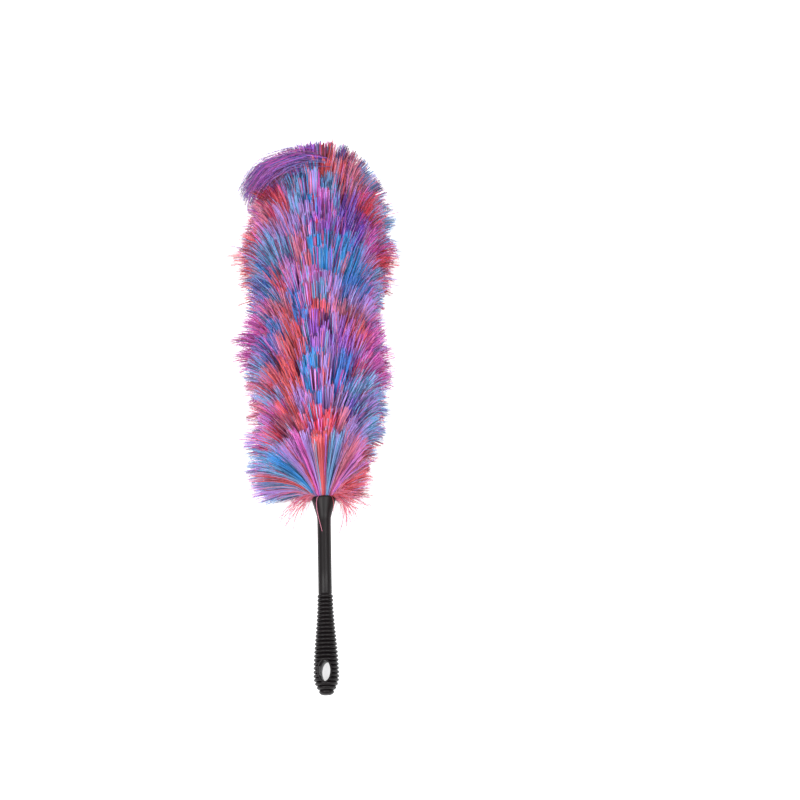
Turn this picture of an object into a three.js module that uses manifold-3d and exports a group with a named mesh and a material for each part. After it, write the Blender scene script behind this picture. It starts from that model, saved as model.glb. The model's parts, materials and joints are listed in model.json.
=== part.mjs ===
// A static duster: a black ribbed handle and a fluffy head of plastic fibres in tiers on a rod.
// It lies on a flat surface with the head towards +Y, on its widest grip rib and its lowest fibres.
// Millimetres, +Z up. The origin is the centre of the bottom of its bounding box.
// Each piece is drawn in the duster's own frame, with +Y along its axis from the butt of the grip
// and +Z towards the side that lies uppermost. One group then tilts and lifts all of them.

import * as THREE from "three";
import { mergeVertices } from "three/addons/utils/BufferGeometryUtils.js";
import Module from "manifold-3d";

const wasm = await Module();
wasm.setup();

// Grip, from the butt towards the shaft
const BUTT_LENGTH = 5.1;
const BUTT_RADIUS = 7.9;
const BUTT_FLAT_RADIUS = 2.6;
const RIB_COUNT = 24;
const RIB_PITCH = 4.2;
const BUTT_RIB_RADIUS = 10;
const BELLY_RIB_RADIUS = 13.6;
const NECK_RIB_RADIUS = 8.4;
const BELLY_RIB_DEPTH = 3;
const NECK_RIB_DEPTH = 1.8;
const BELLY_RIB_NUMBER = 3; // counted from the butt, which is number 0

// Hanging hole through the grip, an oval with a flat collar
const HOLE_WIDTH = 12;
const HOLE_LENGTH = 21.5;
const HOLE_FROM_BUTT = 24.5;
const HOLE_LEAN = 5; // degrees to the left, as the duster lies turned a little about its axis
const COLLAR_WALL = 1.6;
const COLLAR_HALF_HEIGHT = 12.4;

// Shaft and funnel socket
const SHAFT_LENGTH = 84.5;
const SHAFT_GRIP_RADIUS = 7.2;
const SHAFT_FUNNEL_RADIUS = 7.4;
const FUNNEL_LENGTH = 19;
const FUNNEL_RADIUS = 12.9;
const FUNNEL_WALL = 1.5;
const LIP_LENGTH = 2.6;
const LIP_ROUNDING = 0.9;

// Rod, its cap and the adhesive in the socket
const ROD_RADIUS = 4;
const ROD_IN_HANDLE = 120;
const CAP_WALL = 1.7;
const CAP_LENGTH = 11;
const GLUE_DEPTH = 9.5;

// Fibre head
const SECTION_COUNT = 4;
const TIERS_PER_SECTION = 3;
const TIER_PITCH = 29.5;
const FIRST_TIER_IN_SOCKET = 6;
const SLEEVE_WALL = 2.2;
const ROOT_BAND = 4;
const FIBRE_LENGTH = 102;
const LOCK_WIDTH = 5.2;
const WIRE_RADIUS = 0.8;
const SLEEVE_LEAD = 4.4; // sleeve in front of a section's first band, where its wire lies
const SLEEVE_TAIL = 3; // sleeve behind the last band, up to the rod's cap

// How the duster lies: the height of its axis above the surface, at a place along the head
const LYING_HEIGHT = 67;
const LYING_PLACE = 422;

// Gap between pieces that touch on the real duster
const SEAT_GAP = 0.3;

// Overrun of every cut
const OVERRUN = 2;

// Facets round the handle, round the other pieces and round the wire itself
const HANDLE_SIDES = 24;
const ROUND_SIDES = 18;
const WIRE_FACETS = 5;
const OVAL_STEPS = 28;
const DOME_STEPS = 3;
const HALVINGS = 40; // of the interval in which a pressed lock's lean is sought

// Fibres lean away from the axis by these angles at root and tip. The ones on top lie flatter.
const FIRST_TOP_LEAN = [21, 70];
const FIRST_SIDE_LEAN = [21, 132];
const MIDDLE_TOP_LEAN = [23, 68];
const MIDDLE_SIDE_LEAN = [25, 96];
const LAST_TOP_LEAN = [13, 60];
const LAST_SIDE_LEAN = [14, 84];
const LAST_UPRIGHT_LEANS = [[7, -4], [10, 22]]; // by turns, on the locks that close the dome
const LEFT_SWEEP = 24; // the tips of the last tier are swept further over on the left
const SPREAD_TIERS = 3; // tiers over which the first tier's lean fades into the middle one's
const CLOSING_TIERS = 2; // tiers over which the middle lean closes to the last tier's

// Shares of the fibre's length: where its sections lie, how wide it is there, and how tiers differ
const LOCK_PLACE_shares = [0.27, 0.66];
const LOCK_WIDTH_shares = [0.7, 1];
const LOCK_FLATNESS_share = 0.36;
const LOCK_CROWDING_share = 0.62; // of the room that a lock has between its neighbours
const TOP_LENGTH_shares = [0.86, 0.9, 0.94, 0.99, 1.0, 0.95, 1.0, 1.04, 1.02, 0.97, 0.97, 0.98];
const LEFT_LENGTH_shares = [0.83, 0.93, 0.87, 0.94, 0.96, 0.96, 0.9, 0.97, 1.03, 0.99, 0.96, 0.92];
const RIGHT_LENGTH_shares = [0.46, 0.56, 0.71, 0.77, 0.81, 0.76, 0.73, 0.8, 0.92, 0.95, 0.97, 0.92];
const LENGTH_SCATTER_share = 0.05;
const ROW_LEAN_share = 0.1; // every second row of locks along the head leans out more, the others less
const LEAN_SCATTER_share = 0.03;
const LOCK_SCATTER_share = 0.3; // of the angle between neighbouring locks

// Shares of a rib's pitch and depth: a round crest between open valleys
const RIB_PLACE_shares = [0, 0.2, 0.5, 0.8];
const RIB_HEIGHT_shares = [0, 0.62, 1, 0.62];

const GRIP_END = BUTT_LENGTH + RIB_COUNT * RIB_PITCH;
const SHAFT_END = GRIP_END + SHAFT_LENGTH;
const FUNNEL_END = SHAFT_END + FUNNEL_LENGTH;
const RIM = FUNNEL_END + LIP_LENGTH;
const BORE_RADIUS = ROD_RADIUS + SEAT_GAP;
const BORE_END = RIM - ROD_IN_HANDLE;
const SOCKET_FLOOR = SHAFT_END + FUNNEL_WALL;
const FUNNEL_SLOPE = (FUNNEL_RADIUS - SHAFT_FUNNEL_RADIUS) / FUNNEL_LENGTH;
const TIER_COUNT = SECTION_COUNT * TIERS_PER_SECTION;
const SLEEVE_RADIUS = BORE_RADIUS + SLEEVE_WALL;
const LOCKS_PER_TIER = 2 * ROUND_SIDES;
const LOCK_ANGLE = (2 * Math.PI) / LOCKS_PER_TIER;
const CAP_FOOT = tierRoot(TIER_COUNT - 1) + ROOT_BAND + SLEEVE_TAIL + SEAT_GAP;
const ROD_END = CAP_FOOT + CAP_LENGTH - CAP_WALL - SEAT_GAP;
const BELLY_PLACE = BUTT_LENGTH + (BELLY_RIB_NUMBER + RIB_PLACE_shares[2]) * RIB_PITCH;

// The grip's belly and the middle of the head fix the slope of the axis
const TILT = lyingTilt();

// Materials
const blackPlastic = new THREE.MeshStandardMaterial({ color: 0x2a2527, roughness: 0.42, metalness: 0 });
const rodPlastic = new THREE.MeshStandardMaterial({ color: 0xd9d6cf, roughness: 0.5, metalness: 0 });
const steelWire = new THREE.MeshStandardMaterial({ color: 0xb4b6ba, roughness: 0.35, metalness: 1 });
const adhesive = new THREE.MeshStandardMaterial({ color: 0xd8c79a, roughness: 0.3, metalness: 0 });
const fibreColours = [0xe8506e, 0xa25fc8, 0x4a86d6, 0x8a4fc0];

// The place along the axis where a tier's band of roots starts, with the first tier as number 0
function tierRoot(tier) {
  return RIM - FIRST_TIER_IN_SOCKET + tier * TIER_PITCH;
}

// The slope at which the belly rib just touches the surface and the axis has its height in the head
function lyingTilt() {
  const run = LYING_PLACE - BELLY_PLACE;
  const reach = Math.hypot(run, BELLY_RIB_RADIUS);
  return Math.asin(LYING_HEIGHT / reach) - Math.atan2(BELLY_RIB_RADIUS, run);
}

// Height of a point of the duster's own frame above that frame's origin, once the duster is tilted
function climb(along, up) {
  return along * Math.sin(TILT) + up * Math.cos(TILT);
}

// Height of the butt end of the axis, with the lowest corner of the handle on the surface
function buttHeight(geometry) {
  const corners = geometry.attributes.position;
  let lowest = 0;
  for (let corner = 0; corner < corners.count; corner++) {
    lowest = Math.min(lowest, climb(corners.getY(corner), corners.getZ(corner)));
  }
  return -lowest;
}

// An even spread of values from -1 to 1 that depends only on its two numbers
function scatter(first, second) {
  const wave = Math.sin(first * 127.1 + second * 311.7) * 43758.5453;
  return 2 * (wave - Math.floor(wave)) - 1;
}

function blend(from, to, share) {
  return from + (to - from) * share;
}

function smooth(share) {
  const kept = Math.min(Math.max(share, 0), 1);
  return kept * kept * (3 - 2 * kept);
}

function turned(outline, sides) {
  const points = outline.map(([radius, along]) => new THREE.Vector2(radius, along));
  return new THREE.LatheGeometry(points, sides);
}

function toSolid(geometry) {
  const bare = geometry.clone();
  bare.deleteAttribute("normal");
  bare.deleteAttribute("uv");
  const merged = mergeVertices(bare);
  const mesh = new wasm.Mesh({
    numProp: 3,
    vertProperties: new Float32Array(merged.attributes.position.array),
    triVerts: new Uint32Array(merged.index.array),
  });
  return new wasm.Manifold(mesh);
}

function toGeometry(solid) {
  const mesh = solid.getMesh();
  const geometry = new THREE.BufferGeometry();
  geometry.setAttribute("position", new THREE.BufferAttribute(mesh.vertProperties, 3));
  geometry.setIndex(new THREE.BufferAttribute(mesh.triVerts, 1));
  geometry.computeVertexNormals();
  return geometry;
}

// Crest radius and depth of a rib: the grip swells from its neck to its belly and closes at the butt
function ribCrest(place) {
  if (place < BELLY_RIB_NUMBER) {
    const share = 1 - place / BELLY_RIB_NUMBER;
    return blend(BELLY_RIB_RADIUS, BUTT_RIB_RADIUS, share * share);
  }
  const share = smooth((place - BELLY_RIB_NUMBER) / (RIB_COUNT - 1 - BELLY_RIB_NUMBER));
  return blend(BELLY_RIB_RADIUS, NECK_RIB_RADIUS, share);
}

function ribDepth(place) {
  const share = (ribCrest(place) - NECK_RIB_RADIUS) / (BELLY_RIB_RADIUS - NECK_RIB_RADIUS);
  return blend(NECK_RIB_DEPTH, BELLY_RIB_DEPTH, share);
}

// Butt dome, ribs, shaft, funnel, lip, and back down the inside of the funnel and the blind bore
function handleOutline() {
  const outline = [[0, 0], [BUTT_FLAT_RADIUS, 0]];
  for (let step = 1; step <= DOME_STEPS; step++) {
    const angle = (step / DOME_STEPS) * (Math.PI / 2);
    const radius = blend(BUTT_FLAT_RADIUS, BUTT_RADIUS, Math.sin(angle));
    outline.push([radius, (BUTT_LENGTH - RIB_PITCH / 4) * (1 - Math.cos(angle))]);
  }
  for (let rib = 0; rib < RIB_COUNT; rib++) {
    for (const [index, place] of RIB_PLACE_shares.entries()) {
      const middle = rib + place - RIB_PLACE_shares[2];
      const radius = ribCrest(middle) - ribDepth(middle) * (1 - RIB_HEIGHT_shares[index]);
      outline.push([radius, BUTT_LENGTH + (rib + place) * RIB_PITCH]);
    }
  }
  outline.push([SHAFT_GRIP_RADIUS, GRIP_END], [SHAFT_FUNNEL_RADIUS, SHAFT_END]);
  outline.push([FUNNEL_RADIUS, FUNNEL_END]);
  outline.push([FUNNEL_RADIUS, RIM - LIP_ROUNDING], [FUNNEL_RADIUS - LIP_ROUNDING / 2, RIM]);
  outline.push([FUNNEL_RADIUS - FUNNEL_WALL, RIM], [socketRadius(FUNNEL_END), FUNNEL_END]);
  outline.push([socketRadius(SOCKET_FLOOR), SOCKET_FLOOR], [BORE_RADIUS, SOCKET_FLOOR]);
  outline.push([BORE_RADIUS, BORE_END], [0, BORE_END]);
  return outline;
}

// Inner radius of the funnel at a place along the axis
function socketRadius(place) {
  return SHAFT_FUNNEL_RADIUS - FUNNEL_WALL + FUNNEL_SLOPE * (place - SHAFT_END);
}

function ovalBar(width, length, halfHeight) {
  const oval = new THREE.Shape();
  oval.absellipse(0, 0, width / 2, length / 2, 0, 2 * Math.PI);
  const depth = 2 * halfHeight;
  const bar = new THREE.ExtrudeGeometry(oval, { depth, curveSegments: OVAL_STEPS, bevelEnabled: false });
  bar.translate(0, HOLE_FROM_BUTT, -halfHeight);
  bar.rotateY(THREE.MathUtils.degToRad(-HOLE_LEAN));
  return toSolid(bar);
}

// The moulded handle: the turned body, the collar of the hanging hole, and the hole
function handle() {
  const body = toSolid(turned(handleOutline(), HANDLE_SIDES));
  const collar = ovalBar(HOLE_WIDTH + 2 * COLLAR_WALL, HOLE_LENGTH + 2 * COLLAR_WALL, COLLAR_HALF_HEIGHT);
  const hole = ovalBar(HOLE_WIDTH, HOLE_LENGTH, BELLY_RIB_RADIUS + OVERRUN);
  return new THREE.Mesh(toGeometry(body.add(collar).subtract(hole)), blackPlastic);
}

// The rod from the bottom of its bore to the inside of its cap
function coreRod() {
  const start = BORE_END + SEAT_GAP;
  const outline = [[0, start], [ROD_RADIUS, start], [ROD_RADIUS, ROD_END], [0, ROD_END]];
  return new THREE.Mesh(turned(outline, ROUND_SIDES), rodPlastic);
}

// The cap on the rod's far end, a round-nosed cup
function rodTipCap() {
  const radius = BORE_RADIUS + CAP_WALL;
  const nose = CAP_FOOT + CAP_LENGTH;
  const outline = [
    [0, ROD_END + SEAT_GAP],
    [BORE_RADIUS, ROD_END + SEAT_GAP],
    [BORE_RADIUS, CAP_FOOT],
    [radius, CAP_FOOT],
    [radius, nose - 2 * CAP_WALL],
    [radius - CAP_WALL / 2, nose - CAP_WALL / 2],
    [radius - 2 * CAP_WALL, nose],
    [0, nose],
  ];
  return new THREE.Mesh(turned(outline, ROUND_SIDES), blackPlastic);
}

// The set adhesive that fills the bottom of the socket round the rod
function glueFill() {
  const bottom = SOCKET_FLOOR + SEAT_GAP;
  const top = bottom + GLUE_DEPTH - SEAT_GAP;
  const outline = [
    [BORE_RADIUS, bottom],
    [socketRadius(bottom) - SEAT_GAP, bottom],
    [socketRadius(top) - SEAT_GAP, top],
    [BORE_RADIUS, top],
    [BORE_RADIUS, bottom],
  ];
  return new THREE.Mesh(turned(outline, ROUND_SIDES), adhesive);
}

// One ring of wire round the feet of a tier, just in front of its band of roots
function bindingWire(tier) {
  const radius = SLEEVE_RADIUS + SEAT_GAP + WIRE_RADIUS;
  const place = tierRoot(tier) - SLEEVE_LEAD / 2;
  const outline = [];
  for (let step = 0; step <= WIRE_FACETS; step++) {
    const angle = ((step % WIRE_FACETS) / WIRE_FACETS) * 2 * Math.PI;
    outline.push([radius + WIRE_RADIUS * Math.cos(angle), place + WIRE_RADIUS * Math.sin(angle)]);
  }
  return new THREE.Mesh(turned(outline, ROUND_SIDES), steelWire);
}

// Root and tip angles of a tier's fibres at an azimuth, in degrees away from the axis
function tierLean(tier, azimuth) {
  const last = TIER_COUNT - 1;
  const opening = smooth(tier / SPREAD_TIERS);
  const closing = smooth((tier - last + CLOSING_TIERS) / CLOSING_TIERS);
  const side = smooth(1 - Math.cos(azimuth));
  const sweep = LEFT_SWEEP * closing * Math.max(-Math.sin(azimuth), 0);
  const [root, tip] = [0, 1].map((end) => {
    const first = blend(FIRST_TOP_LEAN[end], FIRST_SIDE_LEAN[end], side);
    const middle = blend(MIDDLE_TOP_LEAN[end], MIDDLE_SIDE_LEAN[end], side);
    return blend(blend(first, middle, opening), blend(LAST_TOP_LEAN[end], LAST_SIDE_LEAN[end], side), closing);
  });
  return [root, tip + sweep];
}

// How long a tier's fibres are at an azimuth, as a share of the fibre's length
function tierLength(tier, azimuth) {
  const right = (1 + Math.sin(azimuth)) / 2;
  const side = blend(LEFT_LENGTH_shares[tier], RIGHT_LENGTH_shares[tier], right);
  return blend(TOP_LENGTH_shares[tier], side, smooth(1 - Math.cos(azimuth)));
}

// A fibre bends evenly from its root angle to its tip angle, so its middle line is an arc.
// The answer is how far along the axis and how far away from it a share of its length lies.
function arcPoint(length, lean, share) {
  const [root, tip] = lean;
  const angle = blend(root, tip, share);
  const bend = (angle - root) / share;
  if (Math.abs(bend) < Number.EPSILON) {
    return [length * share * Math.cos(root), length * share * Math.sin(root)];
  }
  return [
    (length * (Math.sin(angle) - Math.sin(root))) / bend,
    (length * (Math.cos(root) - Math.cos(angle))) / bend,
  ];
}

// Fibres below the axis would reach through the surface, so the surface presses them towards the
// axis until their tips just touch it. Halving the interval finds how much of the lean is left.
function pressedLean(place, azimuth, length, lean) {
  const tipHeight = (kept) => {
    const [along, out] = arcPoint(length, lean.map((angle) => angle * kept), 1);
    return BUTT_HEIGHT + climb(place + along, (SLEEVE_RADIUS + out) * Math.cos(azimuth));
  };
  if (tipHeight(1) >= 0) return lean;
  let [low, high] = [0, 1];
  for (let halving = 0; halving < HALVINGS; halving++) {
    const middle = (low + high) / 2;
    if (tipHeight(middle) >= 0) low = middle;
    else high = middle;
  }
  return lean.map((angle) => angle * low);
}

// One lock of fibres, given the three corners of its foot on the sleeve. Of the two locks on a quad,
// one stands nearer the tip of the head and leans out less. A lock has two rings of corners, with
// their flat sides on the foot's longer side, and a pointed tip.
function addLock(solid, foot, tier, lock, nearTip) {
  const azimuth = (lock + 0.5) * LOCK_ANGLE;
  const lengthShare = tierLength(tier, azimuth) + LENGTH_SCATTER_share * scatter(tier, lock);
  const length = FIBRE_LENGTH * lengthShare;
  const rowLean = nearTip ? -ROW_LEAN_share : ROW_LEAN_share;
  const keptLean = 1 + rowLean + LEAN_SCATTER_share * scatter(lock, tier + TIER_COUNT);
  const upright = nearTip && tier === TIER_COUNT - 1;
  const degrees = upright
    ? LAST_UPRIGHT_LEANS[Math.floor(lock / 2) % LAST_UPRIGHT_LEANS.length]
    : tierLean(tier, azimuth);
  const free = degrees.map((angle) => THREE.MathUtils.degToRad(angle * keptLean));
  const sideways = LOCK_SCATTER_share * LOCK_ANGLE * scatter(lock + LOCKS_PER_TIER, tier);
  const place = tierRoot(tier) + ROOT_BAND / 2;
  const lean = pressedLean(place, azimuth + sideways, length, free);
  let ring = foot;
  for (const [index, share] of LOCK_PLACE_shares.entries()) {
    const [along, out] = arcPoint(length, lean, share);
    const radius = SLEEVE_RADIUS + out;
    const turn = azimuth + sideways * share;
    const room = LOCK_CROWDING_share * LOCK_ANGLE * radius;
    const width = Math.min(LOCK_WIDTH * LOCK_WIDTH_shares[index], room);
    const slope = blend(lean[0], lean[1], share);
    const thick = (width * LOCK_FLATNESS_share) / 2;
    const corner = (across, over) => solid.point(
      place + along + over * thick * Math.sin(slope),
      radius - over * thick * Math.cos(slope),
      turn + (across * width) / 2 / radius,
    );
    const next = nearTip
      ? [corner(0, -1), corner(1, 1), corner(-1, 1)]
      : [corner(-1, -1), corner(1, -1), corner(0, 1)];
    for (let side = 0; side < 3; side++) {
      const after = (side + 1) % 3;
      solid.quad(ring[side], ring[after], next[after], next[side]);
    }
    ring = next;
  }
  const [along, out] = arcPoint(length, lean, 1);
  const tip = solid.point(place + along, SLEEVE_RADIUS + out, azimuth + sideways);
  for (let side = 0; side < 3; side++) {
    solid.triangle(ring[side], ring[(side + 1) % 3], tip);
  }
}

// Corners and faces of one closed solid, with each corner given by its place along the axis, its
// distance from it and its azimuth, which is 0 on top and grows towards +X
class FacetedSolid {
  corners = [];
  faces = [];

  point(along, radius, azimuth) {
    this.corners.push(radius * Math.sin(azimuth), along, radius * Math.cos(azimuth));
    return this.corners.length / 3 - 1;
  }

  triangle(a, b, c) {
    this.faces.push(a, b, c);
  }

  quad(a, b, c, d) {
    this.triangle(a, b, c);
    this.triangle(a, c, d);
  }

  ring(along, radius) {
    return Array.from({ length: ROUND_SIDES }, (_, side) =>
      this.point(along, radius, (side / ROUND_SIDES) * 2 * Math.PI));
  }

  // The wall between two rings, facing away from the axis where the second lies further along it
  wall(from, to) {
    for (let side = 0; side < ROUND_SIDES; side++) {
      const after = (side + 1) % ROUND_SIDES;
      this.quad(from[side], from[after], to[after], to[side]);
    }
  }

  geometry() {
    const geometry = new THREE.BufferGeometry();
    geometry.setAttribute("position", new THREE.Float32BufferAttribute(this.corners, 3));
    geometry.setIndex(this.faces);
    geometry.computeVertexNormals();
    return geometry;
  }
}

// A sleeve of bound fibre feet with three tiers of locks. The two triangles of each quad of a
// tier's band are the feet of two locks, so sleeve and locks are one closed solid.
function fibreSection(section) {
  const solid = new FacetedSolid();
  const firstTier = section * TIERS_PER_SECTION;
  const start = tierRoot(firstTier) - SLEEVE_LEAD;
  const next = section < SECTION_COUNT - 1
    ? tierRoot(firstTier + TIERS_PER_SECTION) - SLEEVE_LEAD
    : CAP_FOOT;
  const innerStart = solid.ring(start, BORE_RADIUS);
  let previous = solid.ring(start, SLEEVE_RADIUS);
  solid.wall(innerStart, previous);
  for (let tier = firstTier; tier < firstTier + TIERS_PER_SECTION; tier++) {
    const low = solid.ring(tierRoot(tier), SLEEVE_RADIUS);
    const high = solid.ring(tierRoot(tier) + ROOT_BAND, SLEEVE_RADIUS);
    solid.wall(previous, low);
    for (let side = 0; side < ROUND_SIDES; side++) {
      const after = (side + 1) % ROUND_SIDES;
      // The lock that lies lower, and is pressed harder, is the one nearer the tip
      if (side < ROUND_SIDES / 2) {
        addLock(solid, [low[side], low[after], high[side]], tier, 2 * side, false);
        addLock(solid, [low[after], high[after], high[side]], tier, 2 * side + 1, true);
      } else {
        addLock(solid, [low[side], high[after], high[side]], tier, 2 * side, true);
        addLock(solid, [low[side], low[after], high[after]], tier, 2 * side + 1, false);
      }
    }
    previous = high;
  }
  const outerEnd = solid.ring(next - SEAT_GAP, SLEEVE_RADIUS);
  const innerEnd = solid.ring(next - SEAT_GAP, BORE_RADIUS);
  solid.wall(previous, outerEnd);
  solid.wall(outerEnd, innerEnd);
  solid.wall(innerEnd, innerStart);
  const colour = new THREE.MeshStandardMaterial({
    color: fibreColours[section % fibreColours.length],
    roughness: 0.6,
    metalness: 0,
  });
  return new THREE.Mesh(solid.geometry(), colour);
}

function named(name, mesh) {
  mesh.name = name;
  return mesh;
}

const handleMesh = handle();
const BUTT_HEIGHT = buttHeight(handleMesh.geometry);
const duster = new THREE.Group();
duster.add(named("handle", handleMesh));
duster.add(named("core_rod", coreRod()));
duster.add(named("rod_tip_cap", rodTipCap()));
duster.add(named("glue_fill", glueFill()));
for (let section = 0; section < SECTION_COUNT; section++) {
  duster.add(named(`fibre_section_${section + 1}`, fibreSection(section)));
}
for (let tier = 0; tier < TIER_COUNT; tier++) {
  const number = String(tier + 1).padStart(2, "0");
  duster.add(named(`binding_wire_${number}`, bindingWire(tier)));
}

// Tilt the duster as it lies, then bring the middle of its box's bottom to the origin
duster.rotation.x = TILT;
duster.position.z = BUTT_HEIGHT;
const part = new THREE.Group();
part.add(duster);
part.updateMatrixWorld(true);
const box = new THREE.Box3().setFromObject(part, true);
const centre = box.getCenter(new THREE.Vector3());
duster.position.x -= centre.x;
duster.position.y -= centre.y;
duster.position.z -= box.min.z;

export default part;
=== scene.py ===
"""The looks of a static duster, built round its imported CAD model: a black ribbed handle and a head
of violet, coral and blue plastic fibres in tiers on a rod. Metres, in the frame of the CAD model."""

import json
import math

import bpy
import numpy as np
from mathutils import Matrix, Vector


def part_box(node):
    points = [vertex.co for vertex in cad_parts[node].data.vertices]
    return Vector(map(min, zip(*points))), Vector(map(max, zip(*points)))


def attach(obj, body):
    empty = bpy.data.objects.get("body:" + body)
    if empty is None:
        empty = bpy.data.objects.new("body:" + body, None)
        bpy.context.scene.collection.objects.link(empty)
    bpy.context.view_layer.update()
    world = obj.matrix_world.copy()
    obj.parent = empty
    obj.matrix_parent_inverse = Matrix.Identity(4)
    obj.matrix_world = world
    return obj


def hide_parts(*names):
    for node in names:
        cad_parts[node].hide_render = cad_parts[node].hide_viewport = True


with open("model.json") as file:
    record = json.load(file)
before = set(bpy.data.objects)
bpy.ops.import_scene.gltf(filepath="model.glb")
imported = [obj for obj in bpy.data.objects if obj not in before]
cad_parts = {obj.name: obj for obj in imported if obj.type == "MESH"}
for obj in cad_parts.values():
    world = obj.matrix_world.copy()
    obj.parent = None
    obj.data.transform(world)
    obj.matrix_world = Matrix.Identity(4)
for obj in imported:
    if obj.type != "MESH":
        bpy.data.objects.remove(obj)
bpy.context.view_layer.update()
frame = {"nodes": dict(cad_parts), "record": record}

# Core rod
# An extruded bar of natural polypropylene, 8 mm thick and 455 mm long, that carries the whole head.
# It is pushed 120 mm into the handle, and the fibres and their wires hide the rest of it.
ROD_START, ROD_END = 0.092, 0.5468  # from the butt, along the duster's own axis


class Value:
    """A socket of a material, so that shader maths reads as a plain expression."""

    def __init__(self, finish, socket):
        self.finish, self.socket = finish, socket

    def maths(self, operation, first, second):
        return self.finish.node("Math", {"operation": operation}, {0: first, 1: second})

    def __add__(self, other):
        return self.maths("ADD", self, other)

    def __mul__(self, other):
        return self.maths("MULTIPLY", self, other)

    __radd__ = __add__


class Finish:
    """A node tree whose shader takes plain values on its sockets and expressions where it varies."""

    def __init__(self, tree, shader):
        self.tree = tree
        self.shader = tree.nodes[shader]

    def node(self, kind, settings=(), sockets=(), result=0):
        made = self.tree.nodes.new("ShaderNode" + kind)
        settings = dict(settings)
        for place, shade in settings.pop("stops", ()):
            ramp = made.color_ramp.elements
            stop = ramp.new(place) if len(ramp) > 2 or place not in (0, 1) else ramp[int(place)]
            stop.color = shade if hasattr(shade, "__len__") else (shade, shade, shade, 1)
        for name, value in settings.items():
            setattr(made, name, value)
        self.feed(made, dict(sockets))
        return Value(self, made.outputs[result])

    def feed(self, node, sockets):
        for name, value in sockets.items():
            if isinstance(value, Value):
                self.tree.links.new(value.socket, node.inputs[name])
            else:
                node.inputs[name].default_value = value

    def mix(self, factor, first, second, how="MIX"):
        """Two colours mixed, through the colour sockets of a Mix node."""
        settings = {"data_type": "RGBA", "blend_type": how}
        return self.node("Mix", settings, {0: factor, 6: first, 7: second}, 2)

    def noise(self, place, scale, detail=2.0):
        return self.node("TexNoise", (), {"Vector": place, "Scale": scale, "Detail": detail})


def plastic(name, **sockets):
    """A new material with the sockets of its shader set, and the finish that its nodes go into."""
    material = bpy.data.materials.new(name)
    material.use_nodes = True
    finish = Finish(material.node_tree, "Principled BSDF")
    finish.feed(finish.shader, sockets)
    return material, finish


def stretched(finish, across, along):
    """Object coordinates with one scale across the duster and another along it."""
    place = finish.node("TexCoord", result="Object")
    scale = (across, along, across)
    return finish.node("VectorMath", {"operation": "MULTIPLY"}, {0: place, 1: scale})


def dress(node, material):
    """The CAD node keeps its mesh and gets this material."""
    mesh = frame["nodes"][node].data
    mesh.materials.clear()
    mesh.materials.append(material)


rod_plastic, finish = plastic("natural_polypropylene", Roughness=0.42)
drawn_lines = finish.noise(stretched(finish, 900, 12), 1.0)
rod_colour = finish.mix(drawn_lines, (0.62, 0.6, 0.54, 1), (0.76, 0.74, 0.69, 1))
finish.feed(finish.shader, {"Base Color": rod_colour})
dress("core_rod", rod_plastic)

# Adhesive
# Amber hot-melt adhesive in the bottom of the socket, which holds the rod. It was poured in and set,
# so it has a soft shine and faint clouds.
hot_melt, finish = plastic("hot_melt_adhesive", Roughness=0.24)
clouds = finish.noise(stretched(finish, 260, 260), 1.0, 3.0)
finish.feed(finish.shader, {"Base Color": finish.mix(clouds, (0.6, 0.44, 0.2, 1), (0.76, 0.64, 0.38, 1))})
dress("glue_fill", hot_melt)

# Binding wires
# A ring of bright steel wire, 1.6 mm thick, holds the feet of each tier of fibres on the rod. Drawing
# left fine lines along it.
WIRE_COUNT = 12
bright_wire, finish = plastic("bright_steel_wire", Metallic=1.0)
drawn_lines = finish.noise(stretched(finish, 500, 5000), 1.0)
finish.feed(
    finish.shader,
    {
        "Base Color": finish.mix(drawn_lines, (0.5, 0.51, 0.53, 1), (0.68, 0.69, 0.71, 1)),
        "Roughness": 0.24 + drawn_lines * 0.14,
    },
)
for wire in range(WIRE_COUNT):
    dress(f"binding_wire_{wire + 1:02d}", bright_wire)

# The axis runs from the butt of the grip through the rod, and climbs towards the tip of the head
butt_end = next(m for m in frame["record"]["mounts"] if m["name"] == "butt_end")
AXIS = -Vector(butt_end["axis"]).normalized()
ACROSS = Vector((1, 0, 0))
UPWARD = ACROSS.cross(AXIS)
rod_low, rod_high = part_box("core_rod")
BUTT = (rod_low + rod_high) / 2 - AXIS * (ROD_START + ROD_END) / 2
OWN_FRAME = Matrix.Translation(BUTT) @ Matrix((ACROSS, AXIS, UPWARD)).transposed().to_4x4()


def in_row(points):
    """Points across, along and up from the duster's axis, turned into the row frame."""
    turn = np.array(OWN_FRAME.to_3x3())
    return points @ turn.T + np.array(BUTT)


# Fibres
# The head is made of twelve tiers of split polypropylene fibre, bound round the rod by their feet and
# fluffed out. Fibres hold together in flat locks with square-cut ends, and are dyed in patches.
TIER_COUNT = 12
TIER_PITCH = 0.0295
FIRST_ROOT = 0.206
SECTION_COUNT, TIERS_PER_SECTION = 4, 3
SLEEVE_RADIUS, SLEEVE_BORE = 0.0065, 0.0043
SLEEVE_LEAD, SLEEVE_GAP, SLEEVE_SIDES = 0.0044, 0.0001, 48
LAST_SLEEVE_END = 0.5393
FIBRE_LENGTH = 0.102
# Shares of that length for each tier, on top of the head, at its left side and at its right side. Those
# at the sides started from a search against the head's outline in the photograph.
TOP_LENGTHS = (0.83, 0.9, 0.94, 0.99, 1.0, 0.95, 1.0, 1.04, 1.02, 0.97, 0.97, 0.98)
LEFT_LENGTHS = (0.76, 0.9, 0.77, 0.93, 0.94, 1.04, 0.83, 0.89, 1.07, 0.96, 0.94, 0.84)
RIGHT_LENGTHS = (0.5, 0.49, 0.7, 0.73, 0.81, 0.77, 0.66, 0.74, 0.92, 0.93, 1.0, 0.9)
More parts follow.
